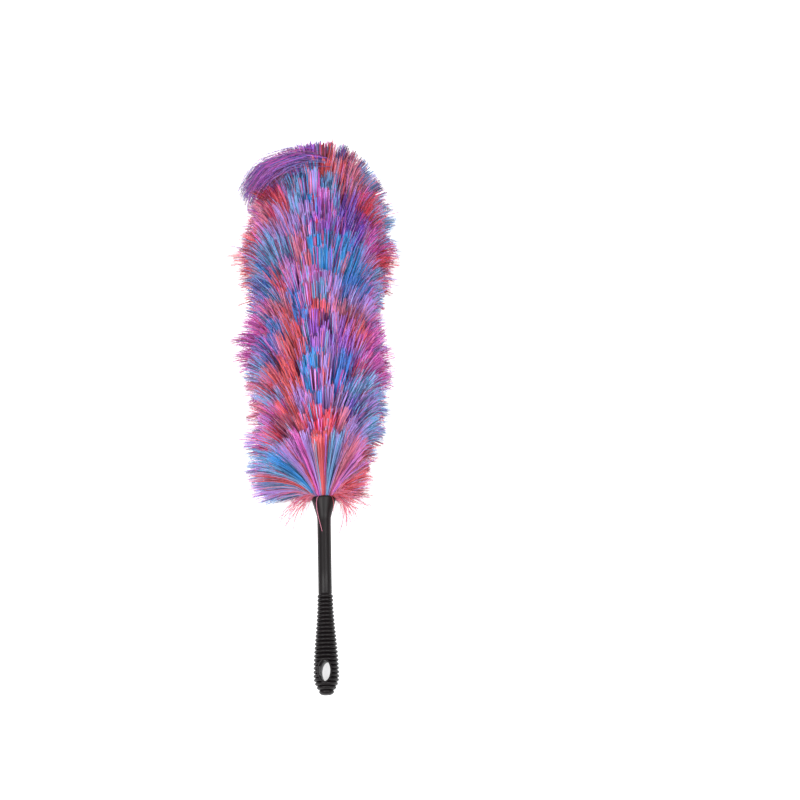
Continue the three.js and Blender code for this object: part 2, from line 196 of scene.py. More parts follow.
# Lean away from the axis at the root and at the tip, in degrees, and how early a fibre bends
FIRST_TOP, FIRST_SIDE = (30, 56, 1.2), (22, 95, 2.9)
MIDDLE_TOP, MIDDLE_SIDE = (54, 36, 1.0), (27, 96, 1.1)
LAST_TOP, LAST_SIDE = (32, 40, 1.0), (14, 78, 1.0)
LEFT_SWEEP = 24  # degrees that the last fibres lean more at the left side
# How much less the first fibres lean at the right side and below, in degrees, how much shorter those
# below are, and the tiers over which this fades
FORWARD_RIGHT, FORWARD_BELOW, SHORT_BELOW, FORWARD_TIERS = 17, 18, 0.35, 1.5
# Tiers over which the first tier's lean fades into the middle one's, and that into the last one's
SPREAD_TIERS, CLOSING_TIERS = 3, 2

# The fibres are laid on in rows, three to two tiers, so that square-cut ends show every 19 mm. Each
# row has layers from the outer to the inner one: share of the lean, share of the length, locks, and
# radius of the feet in the first row, which fills the mouth of the socket.
ROW_COUNT = 18
ROW_LAYERS = (
    (1.06, 1.0, 54, 0.0079),
    (1.0, 1.0, 50, 0.0075),
    (0.92, 0.98, 44, 0.0071),
    (0.8, 0.95, 34, 0.0067),
)
# These close the tip of the head
END_LAYERS = ((0.75, 0.95, 38, 0.0067), (0.5, 0.94, 30, 0.0067), (0.2, 0.93, 20, 0.0067))
FIRST_ROW_LOCKS = 1.6  # times as many in the first row, whose fibres show whole and are finer
FIRST_ROW_WIDTH = 0.78
FIBRES_PER_LOCK = 18
FIBRES_PER_WISP = 2  # neighbours of one dye that draw together at their tips
GATHERED = 0.7  # share of the way to the middle of its wisp that a fibre's tip turns
LOCK_OVERLAP = 1.04  # a lock's width, as a share of the room between two locks
LOCK_JITTER, AZIMUTH_JITTER = 0.25, 0.006
FOOT_BAND = 0.004  # along the rod
FIBRE_WIDTH = 0.00092
WIDTH_SPREAD = (0.75, 1.15)
FIBRE_STEPS = 5
FIBRE_CORNERS = 3
PRESS_STEPS = 24
PRESSED_FLAT = 0.009  # of a tip's drop that the surface takes up by bending the tip

# How much fibres of one row vary. A pair is for the top of the head, where ends are cut square, and
# for the rest of it, but for three: the lean of a lock is for the top and the sides, and the length
# of a lock and the raggedness off the top are for the middle tiers and the last one.
TOP_REACH = 0.5  # the sine of 30 degrees
TIP_WIDTHS = (0.92, 0.45)  # shares of the fibre's width
LEAN_OF_LOCK, LEAN_OF_WISP, LEAN_OF_FIBRE = (0.05, 0.075), (0.01, 0.024), (0.006, 0.03)
LENGTH_OF_LOCK, LENGTH_OF_WISP, LENGTH_OF_FIBRE = (0.055, 0.015), (0.006, 0.015), 0.005
DRIFT_OF_LOCK, DRIFT_OF_WISP, DRIFT_OF_FIBRE = (0.015, 0.08), (0.005, 0.02), 0.01
TOP_RAGGED, FIRST_TOP_RAGGED, OFF_TOP_RAGGED = 0.015, 0.12, (0.26, 0.08)
SQUARE_LOCKS, SQUARE_RAGGED = 0.22, 0.1  # share of the locks cut square, and of their raggedness left
WIDEST_SCATTER = 1.9  # times its usual size
# The first fibres are frayed at the right side: up to this tier, from this sine of the azimuth on and
# over this much of it, with this much scatter and up to this much shorter
FRAYED_TIERS, FRAYED_FROM, FRAYED_OVER, FRAYED_SCATTER, FRAYED_SHORT = 0.6, 0.7, 0.25, 0.12, 0.5

DYES = {
    "coral": (252, 84, 98),
    "salmon": (250, 132, 168),
    "crimson": (246, 36, 84),
    "maroon": (160, 42, 98),
    "magenta": (222, 70, 190),
    "orchid": (222, 126, 226),
    "lavender": (192, 150, 240),
    "violet": (166, 86, 216),
    "purple": (106, 44, 196),
    "azure": (0, 156, 240),
    "sky": (112, 186, 244),
    "blue": (46, 128, 228),
    "steel": (98, 154, 216),
    "navy": (52, 70, 166),
}
MIXED_IN = (
    "salmon", "coral", "lavender", "orchid", "steel", "sky", "orchid", "violet", "magenta", "crimson",
)
# Patches of one dye: tier and azimuth, reach in tiers and spread in degrees, and dye. The azimuth is 0
# at the top and grows to the right, seen from the handle. Places and dyes were noted on the
# photograph. A scratch script worked out most of the numbers from them, and some were then changed.
DYE_PATCHES = (
    (0, -112, 0.24, 8, "sky"), (0, -101, 0.24, 5, "steel"), (0, -93, 0.24, 5, "orchid"),
    (0, -85, 0.24, 5, "lavender"), (0, -77, 0.24, 5, "salmon"), (0, -69, 0.24, 5, "steel"),
    (0, -61, 0.24, 7, "sky"), (0, -50, 0.24, 7, "azure"), (0, -42, 0.24, 3, "sky"),
    (0, -36, 0.24, 5, "lavender"), (0, -28, 0.24, 5, "orchid"), (0, -20, 0.24, 4, "magenta"),
    (0, -13, 0.24, 6, "lavender"), (0, 1, 0.24, 10, "coral"), (0, 15, 0.24, 5, "sky"),
    (0, 23, 0.24, 4, "steel"), (0, 30, 0.24, 5, "lavender"), (0, 41, 0.24, 7, "salmon"),
    (0, 52, 0.24, 5, "orchid"), (0, 61, 0.24, 5, "salmon"), (0, 75, 0.24, 11, "coral"),
    (0, 90, 0.24, 8, "salmon"), (0, 102, 0.3, 9, "coral"), (0.5, 75, 0.3, 20, "coral"),
    (0, 130, 0.3, 26, "salmon"), (0, -145, 0.3, 20, "salmon"), (0.7, -64, 0.3, 9, "sky"),
    (0.5, -51, 0.3, 9, "crimson"), (0.5, -32, 0.4, 9, "maroon"), (0.4, -15, 0.4, 8, "crimson"),
    (0.5, 9, 0.4, 14, "crimson"), (0.5, 28, 0.4, 8, "salmon"), (0.7, 54, 0.3, 8, "lavender"),
    (1.0, -55, 0.4, 8, "orchid"), (1.1, -46, 0.3, 6, "magenta"), (1.2, -36, 0.5, 9, "coral"),
    (0.8, -22, 0.3, 6, "coral"), (1.2, -12, 0.5, 6, "lavender"), (1.2, 21, 0.6, 9, "lavender"),
    (0.9, 31, 0.4, 10, "purple"), (1.1, 50, 0.4, 11, "sky"), (1.6, 50, 0.4, 9, "lavender"),
    (0.75, 34, 0.3, 7, "lavender"),
    (2.5, -66, 0.4, 10, "salmon"), (1.8, -40, 0.3, 8, "steel"), (2.2, -29, 0.7, 11, "coral"),
    (2.3, -6, 0.7, 8, "azure"), (1.5, -4, 0.3, 6, "blue"), (1.9, 9, 0.9, 7, "lavender"),
    (2.4, 24, 0.7, 9, "blue"), (2.4, 50, 0.4, 9, "sky"),
    (2.0, 36, 0.4, 11, "steel"), (2.6, 60, 0.3, 9, "sky"),
    (3.0, -64, 0.3, 7, "steel"), (2.8, -48, 0.4, 6, "coral"), (3.4, -46, 0.4, 10, "navy"),
    (3.0, -25, 0.3, 7, "coral"), (3.4, 21, 0.5, 11, "violet"), (2.9, 47, 0.3, 13, "crimson"),
    (4.2, -68, 0.4, 10, "magenta"), (3.9, -41, 0.5, 11, "blue"), (4.1, -23, 0.5, 8, "coral"),
    (3.6, 2, 0.4, 9, "violet"), (4.4, 2, 0.3, 7, "coral"), (4.4, 32, 0.5, 12, "maroon"),
    (3.9, 40, 0.3, 8, "coral"), (3.6, 52, 0.4, 11, "magenta"),
    (5.1, -59, 0.4, 9, "magenta"), (5.2, -42, 0.4, 11, "salmon"), (4.9, -17, 0.5, 8, "blue"),
    (5.1, 2, 0.4, 9, "sky"), (4.6, 16, 0.5, 6, "salmon"), (5.4, 37, 0.5, 10, "lavender"),
    (6.2, -58, 0.4, 10, "navy"), (5.8, -38, 0.5, 8, "coral"), (6.2, -20, 0.6, 9, "orchid"),
    (5.7, -10, 0.5, 8, "orchid"), (6.1, -50, 0.4, 7, "blue"),
    (5.6, 12, 0.5, 7, "lavender"), (6.5, 21, 0.7, 15, "azure"), (5.9, 33, 0.5, 12, "blue"),
    (5.9, 60, 0.3, 9, "magenta"), (6.8, -54, 0.3, 8, "steel"), (6.7, -13, 0.4, 7, "salmon"),
    (7.0, 15, 0.5, 15, "azure"), (6.9, 34, 0.5, 12, "azure"), (7.0, 50, 0.4, 8, "lavender"),
    (7.0, 66, 0.4, 9, "steel"), (7.2, -70, 0.4, 9, "steel"),
    (7.5, -80, 0.4, 9, "coral"), (8.4, -56, 0.3, 8, "coral"), (7.6, -50, 0.4, 10, "steel"),
    (8.0, -28, 0.6, 12, "lavender"), (7.5, -30, 0.3, 8, "sky"), (8.1, -12, 0.4, 7, "lavender"),
    (8.0, 8, 0.4, 7, "violet"), (8.0, -4, 0.3, 4, "navy"), (8.2, 33, 0.7, 14, "purple"),
    (8.0, 54, 0.4, 9, "magenta"), (7.8, 72, 0.4, 8, "crimson"),
    (9.1, -56, 0.3, 9, "salmon"), (8.9, -35, 0.4, 6, "crimson"), (9.3, -20, 0.7, 7, "steel"),
    (8.9, 8, 0.4, 5, "orchid"), (9.2, 53, 0.4, 10, "crimson"), (9.2, 74, 0.3, 8, "steel"),
    (9.6, -43, 0.4, 7, "crimson"), (10.4, -34, 0.4, 7, "maroon"), (9.7, -8, 0.5, 7, "azure"),
    (9.7, 2, 0.5, 6, "azure"), (9.6, 13, 0.5, 7, "steel"), (10.4, 4, 0.4, 3, "maroon"),
    (10.4, 14, 0.5, 10, "coral"), (9.8, 26, 0.4, 6, "maroon"), (10.5, 46, 0.6, 10, "salmon"),
    (10.5, 60, 0.4, 8, "steel"), (10.8, -24, 0.3, 6, "navy"), (10.7, 33, 0.3, 5, "navy"),
    (11, -6, 0.4, 8, "violet"),
)
PATCH_RAGGEDNESS = 0.14
PURITY = (0.88, 1.0)  # share of a lock that is its own dye; the rest is other dyes mixed in
FAR_PURITY, FAR_AWAY = 0.75, 2  # times as pure as in a patch, this many times its reach away
ROW_PURITY, FIRST_ROW_PURITY = (0.72, 0.96), 0.9
ODD_LOCKS = 0.05  # share of the locks that have a dye of their own
# Shares of the dye and of white in the five shades, how far locks, wisps and fibres stray from the
# middle shade, on top of the head and off it, and that shade. The shades are drawn at random, so in
# part they are the fibres' own tone that varies, and in part painted light: the dark ones paint shade
# in the gaps between streaks, the pale ones with white paint sheen highlights along the fibres, and
# the first row's higher middle shade paints it lighter.
SHADES = ((0.26, 0.006), (0.62, 0.015), (1.05, 0.04), (1.3, 0.1), (1.35, 0.2))
SHADE_OF_LOCK, SHADE_OF_WISP, SHADE_OF_FIBRE = (0.45, 1.1), (1.35, 1.6), (0.4, 1.1)
MIDDLE_SHADE, FIRST_ROW_SHADE = 2, 2.4
HIGHEST_ALBEDO = 0.95
# The bake's picture has a row for each shade of each dye. A fibre's walls lie along it, and its two
# ends at these places.
BAKE_MARGIN = 0.12  # of a row
TIP_PLACES, FOOT_PLACES = (0.97, 0.985, 1.0), (0.0, 0.015, 0.03)

random = np.random.default_rng(7)
dye_names = tuple(DYES)
wisp_of_fibre = np.arange(FIBRES_PER_LOCK) // FIBRES_PER_WISP


def linear(colour):
    """A colour as a screen shows it, from 0 to 255, as the light that it reflects."""
    share = np.array(colour, float) / 255
    return np.where(share < 0.04045, share / 12.92, ((share + 0.055) / 1.055) ** 2.4)


def smooth(share):
    kept = np.clip(share, 0, 1)
    return kept * kept * (3 - 2 * kept)


def between(first, second, share):
    return first + (second - first) * share


def sideways(azimuth):
    """0 on top of the head, and 1 at its sides and below."""
    return smooth(1 - np.cos(azimuth))


def off_top(azimuth):
    """0 along the top of the head, where ends are cut square, and 1 from 30 degrees on."""
    return np.where(np.cos(azimuth) > 0, smooth(np.abs(np.sin(azimuth)) / TOP_REACH), 1)


def tier_lean(tier, azimuth):
    """How fibres lean away from the axis at their root and at their tip, and how early they bend."""
    last = TIER_COUNT - 1
    opening = smooth(tier / SPREAD_TIERS)
    closing = smooth((tier - last + CLOSING_TIERS) / CLOSING_TIERS)
    side = sideways(azimuth)
    root, tip, early = (
        between(
            between(between(*first, side), between(*middle, side), opening),
            between(*final, side),
            closing,
        )
        for first, middle, final in zip(
            zip(FIRST_TOP, FIRST_SIDE), zip(MIDDLE_TOP, MIDDLE_SIDE), zip(LAST_TOP, LAST_SIDE)
        )
    )
    tip = tip + LEFT_SWEEP * closing * np.maximum(-np.sin(azimuth), 0)
    right, below = np.maximum(np.sin(azimuth), 0), np.maximum(-np.cos(azimuth), 0)
    tip = tip - (FORWARD_RIGHT * right + FORWARD_BELOW * below) * (1 - smooth(tier / FORWARD_TIERS))
    return np.radians(root), np.radians(tip), early


def tier_length(tier, azimuth):
    """The length of fibres, between those of the tiers on top, at the left and at the right."""
    top, left, right = (
        np.interp(tier, range(TIER_COUNT), lengths)
        for lengths in (TOP_LENGTHS, LEFT_LENGTHS, RIGHT_LENGTHS)
    )
    side = between(left, right, (1 + np.sin(azimuth)) / 2)
    short = SHORT_BELOW * (1 - smooth(tier / FORWARD_TIERS)) * np.maximum(-np.cos(azimuth), 0)
    return FIBRE_LENGTH * between(top, side, sideways(azimuth)) * (1 - short)


def bent(length, root, tip, early, steps):
    """How far along the axis and out from it the points of each fibre lie."""
    column = lambda values: np.asarray(values)[..., None]
    share = (np.arange(steps) + 0.5) / steps
    lean = column(root) + column(tip - root) * (1 - (1 - share) ** column(early))
    step = column(length) / steps
    start = np.zeros(lean.shape[:-1] + (1,))
    along = np.concatenate([start, np.cumsum(step * np.cos(lean), -1)], -1)
    out = np.concatenate([start, np.cumsum(step * np.sin(lean), -1)], -1)
    return along, out


def pressed(foot, radius, azimuth, length, root, tip, early, steps):
    """The share of the lean that is left where the surface under the head presses on a tip."""

    def clear(kept):
        along, out = bent(length, root * kept, tip * kept, early, steps)
        up = (radius + out[..., -1]) * np.cos(azimuth)
        return BUTT.z + (foot + along[..., -1]) * AXIS.z + up * UPWARD.z >= -PRESSED_FLAT

    low, high = np.zeros_like(length), np.ones_like(length)
    for _ in range(PRESS_STEPS):
        kept = (low + high) / 2
        free = clear(kept)
        low, high = np.where(free, kept, low), np.where(free, high, kept)
    return np.where(clear(np.ones_like(length)), 1.0, low)


def fibre_paths(foot, radius, azimuth, length, root, tip, early, drift, steps):
    """The middle lines of fibres in the row frame, with the surface pressing on what is too low."""
    kept = pressed(foot, radius, azimuth, length, root, tip, early, steps)
    share = np.linspace(0, 1, steps + 1)
    column = lambda values: values[:, None]
    along, out = bent(length, root * kept, tip * kept, early, steps)
    turn = column(azimuth) + column(drift) * share**2
    out = column(radius) + out
    points = np.stack([out * np.sin(turn), column(foot) + along, out * np.cos(turn)], -1)
    points = in_row(points)
    points[..., 2] = np.maximum(points[..., 2], FIBRE_WIDTH / 2)
    return points


def solid_mesh(name, points, faces, uvs=None):
    """A mesh of faces, given as a list of arrays of corners, with a picture place for each corner."""
    mesh = bpy.data.meshes.new(name)
    corners = np.concatenate([f.ravel() for f in faces])
    totals = np.concatenate([np.full(len(f), f.shape[1]) for f in faces])
    mesh.vertices.add(len(points))
    mesh.vertices.foreach_set("co", points.astype(np.float32).ravel())
    mesh.loops.add(len(corners))
    mesh.loops.foreach_set("vertex_index", corners.astype(np.int32))
    mesh.polygons.add(len(totals))
    starts = np.concatenate([[0], np.cumsum(totals)[:-1]])
    mesh.polygons.foreach_set("loop_start", starts.astype(np.int32))
    mesh.polygons.foreach_set("use_smooth", np.ones(len(totals), bool))
    mesh.update(calc_edges=True)
    if uvs is not None:
        layer = mesh.uv_layers.new(name="OFBake")
        places = np.concatenate([u.reshape(-1, 2) for u in uvs])
        layer.data.foreach_set("uv", places.astype(np.float32).ravel())
    return mesh


def shown(name, mesh, material, slot, *nodes):
    """A new piece of the duster, with the CAD nodes that it stands for."""
    mesh.materials.clear()
    mesh.materials.append(material)
    piece = bpy.data.objects.new(name, mesh)
    bpy.context.scene.collection.objects.link(piece)
    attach(piece, "root")
    if nodes:
        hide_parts(*nodes)
    return piece


def fibre_mesh(name, paths, azimuth, width, tip_width, dye, shade):
    """Closed three-sided fibres along their paths. Each holds its colour, its dye at a shade level whose
    dark and pale steps are partly painted shade and sheen, and its place along it.
    """
    count, rings = paths.shape[:2]
    tangent = np.gradient(paths, axis=1)
    tangent /= np.linalg.norm(tangent, axis=2, keepdims=True)
    flank = np.stack([np.cos(azimuth), np.zeros(count), -np.sin(azimuth)], -1)
    flank = (flank @ np.array(OWN_FRAME.to_3x3()).T)[:, None, :]
    flank = flank - (flank * tangent).sum(2, keepdims=True) * tangent
    flank /= np.linalg.norm(flank, axis=2, keepdims=True)
    face = np.cross(tangent, flank)
    spin = random.uniform(0, 2 * math.pi, count)[:, None, None]
    angle = spin + np.arange(FIBRE_CORNERS) * 2 * math.pi / FIBRE_CORNERS
    share = np.linspace(0, 1, rings)
    narrowing = between(1.0, tip_width[:, None], share**2)
    reach = (width[:, None] / 2 * narrowing)[:, :, None, None]
    around = np.cos(angle)[..., None] * flank[:, :, None] + np.sin(angle)[..., None] * face[:, :, None]
    points = (paths[:, :, None] + reach * around).reshape(-1, 3)
    points[:, 2] = np.maximum(points[:, 2], 0)

    first = (np.arange(count) * rings * FIBRE_CORNERS)[:, None, None]
    ring = (np.arange(rings - 1) * FIBRE_CORNERS)[None, :, None]
    corner = np.arange(FIBRE_CORNERS)[None, None, :]
    after = (corner + 1) % FIBRE_CORNERS
    near, far = first + ring, first + ring + FIBRE_CORNERS
    walls = np.stack([near + corner, near + after, far + after, far + corner], -1).reshape(-1, 4)
    last = first[:, 0] + (rings - 1) * FIBRE_CORNERS
    caps = np.concatenate([last + [[0, 1, 2]], first[:, 0] + [[2, 1, 0]]])

    # Partly painted light: the dye is scaled by the fibre's shade level and white is added, so dark
    # levels paint shade between streaks and pale ones paint sheen highlights
    strength, white = np.array(SHADES)[shade].T[..., None]
    tints = np.array([linear(DYES[n]) for n in dye_names])[dye] * strength + white
    tints *= np.minimum(1, HIGHEST_ALBEDO / tints.max(1, keepdims=True))
    rows = len(DYES) * len(SHADES)
    row = dye * len(SHADES) + shade
    low, high = (row + BAKE_MARGIN) / rows, (row + 1 - BAKE_MARGIN) / rows
    wall_uv = np.zeros((count, rings - 1, FIBRE_CORNERS, 4, 2))
    wall_uv[..., 0, 0] = wall_uv[..., 1, 0] = share[:-1][None, :, None]
    wall_uv[..., 2, 0] = wall_uv[..., 3, 0] = share[1:][None, :, None]
    wall_uv[..., 0, 1] = wall_uv[..., 3, 1] = low[:, None, None]
    wall_uv[..., 1, 1] = wall_uv[..., 2, 1] = high[:, None, None]
    cap_uv = np.zeros((2, count, 3, 2))
    cap_uv[0, :, :, 0], cap_uv[1, :, :, 0] = TIP_PLACES, FOOT_PLACES
    cap_uv[..., 0, 1], cap_uv[..., 1, 1], cap_uv[..., 2, 1] = low, high, low

    mesh = solid_mesh(name, points, [walls, caps], [wall_uv, cap_uv])
    per_point = np.repeat(np.arange(count), rings * FIBRE_CORNERS)
    tint = mesh.attributes.new("tint", "FLOAT_COLOR", "POINT")
    colours = np.concatenate([tints[per_point], np.ones((len(per_point), 1))], 1)
    tint.data.foreach_set("color", colours.astype(np.float32).ravel())
    place = mesh.attributes.new("place", "FLOAT", "POINT")
    places = np.tile(np.repeat(share, FIBRE_CORNERS), count)
    place.data.foreach_set("value", places.astype(np.float32))
    return mesh


def any_dye(names, shape):
    return random.choice([dye_names.index(n) for n in names], shape)


def lock_dyes(tier, azimuth):
    """The dye of each lock, that of the nearest patch or an odd one, and how pure it is."""
    away = []
    for patch_tier, middle, reach, spread, _ in DYE_PATCHES:
        turn = (np.degrees(azimuth) - middle + 180) % 360 - 180
        away.append(np.hypot((tier - patch_tier) / reach, turn / spread))
    away = np.array(away)
    away = away * (1 + random.uniform(-1, 1, away.shape) * PATCH_RAGGEDNESS)
    patch_dyes = np.array([dye_names.index(patch[-1]) for patch in DYE_PATCHES])
    chosen = patch_dyes[away.argmin(0)]
    odd = random.uniform(0, 1, len(azimuth)) < ODD_LOCKS
    chosen = np.where(odd, any_dye(MIXED_IN, len(azimuth)), chosen)
    purity = random.uniform(*PURITY, len(azimuth))
    return chosen, purity * between(1, FAR_PURITY, smooth(away.min(0) / FAR_AWAY))


def mixed(own, purity, others):
    """The dye of each fibre: that of its lock, or for a share of the wisps another one."""
    kept = random.uniform(0, 1, others.shape) < purity[:, None]
    return np.where(kept, own[:, None], others)[:, wisp_of_fibre]


def scatter(locks, of_lock, of_wisp, of_fibre):
    """Scatter about 0 for the fibres of locks, shared by a lock, shared by a wisp and of each fibre."""
    draw = lambda *shape: np.clip(random.normal(0, 1, shape), -WIDEST_SCATTER, WIDEST_SCATTER)
    wisps = draw(locks, wisp_of_fibre[-1] + 1)[:, wisp_of_fibre]
    return draw(locks, 1) * of_lock + wisps * of_wisp + draw(locks, FIBRES_PER_LOCK) * of_fibre


def lock_azimuths(middle, spacing):
    """The azimuths of the fibres of locks, and how far each has to turn to the middle of its wisp."""
    across = np.linspace(-0.5, 0.5, FIBRES_PER_LOCK) * spacing * LOCK_OVERLAP
    wisp = np.array([across[wisp_of_fibre == w].mean() for w in wisp_of_fibre])
    return middle[:, None] + across, wisp - across


def lock_shades(locks, of_lock, of_wisp, of_fibre, middle):
    """The shade of each fibre, as its number in SHADES."""
    steps = np.round(middle + scatter(locks, of_lock, of_wisp, of_fibre))
    return np.clip(steps, 0, len(SHADES) - 1)


def row_layer(row, lean_share, length_share, locks, mouth_radius):
    """The fibres of one layer of locks, as a list of one array for each thing that sets a fibre."""
    root_place = row * (TIER_COUNT - 1) * TIER_PITCH / (ROW_COUNT - 1)
    tier = root_place / TIER_PITCH
    locks = locks if row else round(locks * FIRST_ROW_LOCKS)
    shape = (locks, FIBRES_PER_LOCK)
    spacing = 2 * math.pi / locks
    middle = np.arange(locks) + random.uniform(0, 1) + random.uniform(-LOCK_JITTER, LOCK_JITTER, locks)
    middle = middle * spacing
    azimuth, gather = lock_azimuths(middle, spacing)
    azimuth = azimuth + random.normal(0, AZIMUTH_JITTER, shape)
    side, off = sideways(azimuth), off_top(azimuth)
    closing = smooth((tier - TIER_COUNT + 1 + CLOSING_TIERS) / CLOSING_TIERS)
    square = random.uniform(0, 1, (locks, 1)) < SQUARE_LOCKS
    ragged = between(TOP_RAGGED if row else FIRST_TOP_RAGGED, between(*OFF_TOP_RAGGED, closing), off)
    ragged = ragged * np.where(square, SQUARE_RAGGED, 1)
    frayed = smooth(1 - tier / FRAYED_TIERS) * smooth((np.sin(azimuth) - FRAYED_FROM) / FRAYED_OVER)
    root, tip, early = tier_lean(tier, azimuth)
    of_lock, of_wisp = between(*LEAN_OF_LOCK, side), between(*LEAN_OF_WISP, off)
    of_fibre = between(*LEAN_OF_FIBRE, off) + FRAYED_SCATTER * frayed
    lean = lean_share * (1 + scatter(locks, of_lock, of_wisp, of_fibre))
    of_lock, of_wisp = between(*LENGTH_OF_LOCK, closing), between(*LENGTH_OF_WISP, off)
    length = tier_length(tier, azimuth) * length_share
    length = length * (1 + scatter(locks, of_lock, of_wisp, LENGTH_OF_FIBRE))
    length = length * (1 - (ragged + FRAYED_SHORT * frayed) * random.uniform(0, 1, shape) ** 2)
    of_lock, of_wisp = between(*DRIFT_OF_LOCK, off), between(*DRIFT_OF_WISP, off)
    of_fibre = DRIFT_OF_FIBRE + FRAYED_SCATTER * frayed
    drift = scatter(locks, of_lock, of_wisp, of_fibre) + gather * GATHERED * off
    foot = FIRST_ROOT + root_place + random.uniform(0, FOOT_BAND, shape)
    radius = np.full(shape, mouth_radius if row == 0 else SLEEVE_RADIUS)
    own, purity = lock_dyes(tier, middle)
    purity = purity * (between(*ROW_PURITY, off_top(middle)) if row else FIRST_ROW_PURITY)
    dye = mixed(own, purity, any_dye(MIXED_IN, (locks, wisp_of_fibre[-1] + 1)))
    width = FIBRE_WIDTH * (1 if row else FIRST_ROW_WIDTH) * random.uniform(*WIDTH_SPREAD, shape)
    early = early * np.ones(shape)
    spread = (between(*pair, off) for pair in (SHADE_OF_LOCK, SHADE_OF_WISP, SHADE_OF_FIBRE))
    shade = lock_shades(locks, *spread, MIDDLE_SHADE if row else FIRST_ROW_SHADE)
    fibres = (
        foot, radius, azimuth, length, root * lean, tip * lean, early, drift,
        width, between(*TIP_WIDTHS, off), dye, shade,
    )
    return [v.ravel() for v in fibres]


def grown(name, layers, *nodes, steps=FIBRE_STEPS):
    """A piece of fibres from lists of arrays, as row_layer gives them."""
    foot, radius, azimuth, length, root, tip, early, drift, width, tip_width, dye, shade = map(
        np.concatenate, zip(*layers)
    )
    paths = fibre_paths(foot, radius, azimuth, length, root, tip, early, drift, steps)
    mesh = fibre_mesh(name, paths, azimuth, width, tip_width, dye.astype(int), shade.astype(int))
    return shown(name, mesh, fibre_plastic, "fibre", *nodes)


fibre_plastic, finish = plastic("dyed_fibre_painted_shade", Roughness=0.36)
tint = finish.node("Attribute", {"attribute_name": "tint"}, result="Color")
place = finish.node("Attribute", {"attribute_name": "place"}, result="Fac")
# Painted shade: the colour darkens towards the fibres' roots, where they lie under the ends of the next
# row, from 0.8 at the root to full at 0.9 of the length
painted_root_shade = finish.node("ValToRGB", {"stops": ((0, 0.8), (1, 1.0), (0.7, 0.86), (0.9, 1.0))}, {0: place})
finish.feed(finish.shader, {"Base Color": finish.mix(1.0, tint, painted_root_shade, "MULTIPLY")})

for row in range(ROW_COUNT):
    layers = ROW_LAYERS + (END_LAYERS if row == ROW_COUNT - 1 else ())
    section = f"fibre_section_{row * SECTION_COUNT // ROW_COUNT + 1}"
    grown(f"fibre_row_{row + 1:02d}", [row_layer(row, *layer) for layer in layers], section)

# The feet of the fibres, pressed together under the wires into a sleeve on the rod
bound_feet, finish = plastic("bound_fibre_feet", Roughness=0.4)
strands = finish.noise(stretched(finish, 1400, 30), 1.0, 3.0)
dyes = [(place, (*linear(DYES[name]), 1)) for place, name in (
    (0, "purple"), (1, "blue"), (0.42, "magenta"), (0.5, "coral"), (0.58, "violet"),
)]
finish.feed(finish.shader, {"Base Color": finish.node("ValToRGB", {"stops": dyes}, {0: strands})})
for section in range(SECTION_COUNT):
    start = FIRST_ROOT + section * TIERS_PER_SECTION * TIER_PITCH - SLEEVE_LEAD
    end = start + TIERS_PER_SECTION * TIER_PITCH - SLEEVE_GAP
    if section == SECTION_COUNT - 1:
        end = LAST_SLEEVE_END
    angle = 2 * math.pi * np.arange(SLEEVE_SIDES) / SLEEVE_SIDES
    corners = ((SLEEVE_BORE, start), (SLEEVE_RADIUS, start), (SLEEVE_RADIUS, end), (SLEEVE_BORE, end))
    rings = [
        np.stack([radius * np.sin(angle), np.full(SLEEVE_SIDES, place), radius * np.cos(angle)], -1)
        for radius, place in corners
    ]
    ring = np.arange(len(corners))[:, None] * SLEEVE_SIDES
    other = (ring + SLEEVE_SIDES) % (len(corners) * SLEEVE_SIDES)
    side = np.arange(SLEEVE_SIDES)[None, :]
    after = (side + 1) % SLEEVE_SIDES
    walls = np.stack([ring + side, ring + after, other + after, other + side], -1).reshape(-1, 4)
    sleeve = solid_mesh("bound_feet", in_row(np.concatenate(rings)), [walls])
    shown(f"bound_feet_{section + 1}", sleeve, bound_feet, "fibre", f"fibre_section_{section + 1}")

# Swept locks
# Longer locks at the end of the head that were combed over its top to the left, and lie on it as one
# smooth tuft of violet and orchid. Each pair of values is for its outermost and its innermost lock.
SWEPT_LOCKS = 24
SWEPT_LOCK_ANGLE = np.radians(7)
SWEPT_STEPS = 9
SWEPT_BEHIND, SWEPT_BAND = 0.0045, 0.002  # behind the first feet of the last tier, and to each side
SWEPT_FOOT = FIRST_ROOT + (TIER_COUNT - 1) * TIER_PITCH + SWEPT_BEHIND
# The course of the tuft started from a search against points noted on the photograph
SWEPT_AZIMUTH = np.radians((50, 28))
SWEPT_LENGTH = (0.135, 0.124)
SWEPT_ROOT, SWEPT_TIP = np.radians((3, 4)), np.radians((245, 227))
SWEPT_EARLY = 0.42
SWEPT_DRIFT = (-1.9, -1.78)
SWEPT_WIDTHS, SWEPT_TIP_WIDTH = (0.7, 1.0), 0.35
SWEPT_DYES, SWEPT_PURITY = ("violet", "orchid", "purple", "magenta", "purple", "navy"), 0.55
SWEPT_MIXED_IN = ("orchid", "magenta", "violet", "maroon", "navy")
SWEPT_SHADES = (0.6, 1.35, 0.4, MIDDLE_SHADE)
# Scatter shared by a lock, shared by a wisp and of each fibre
SWEPT_SCATTER = {
    "azimuth": (0.1, 0, 0),
    "length": (0.03, 0.025, 0.02),
    "root": (0.04, 0.02, 0.01),
    "tip": (0.05, 0.04, 0.03),
    "drift": (0.09, 0.05, 0.03),
}


def strewn(thing):
    return scatter(SWEPT_LOCKS, *SWEPT_SCATTER[thing])


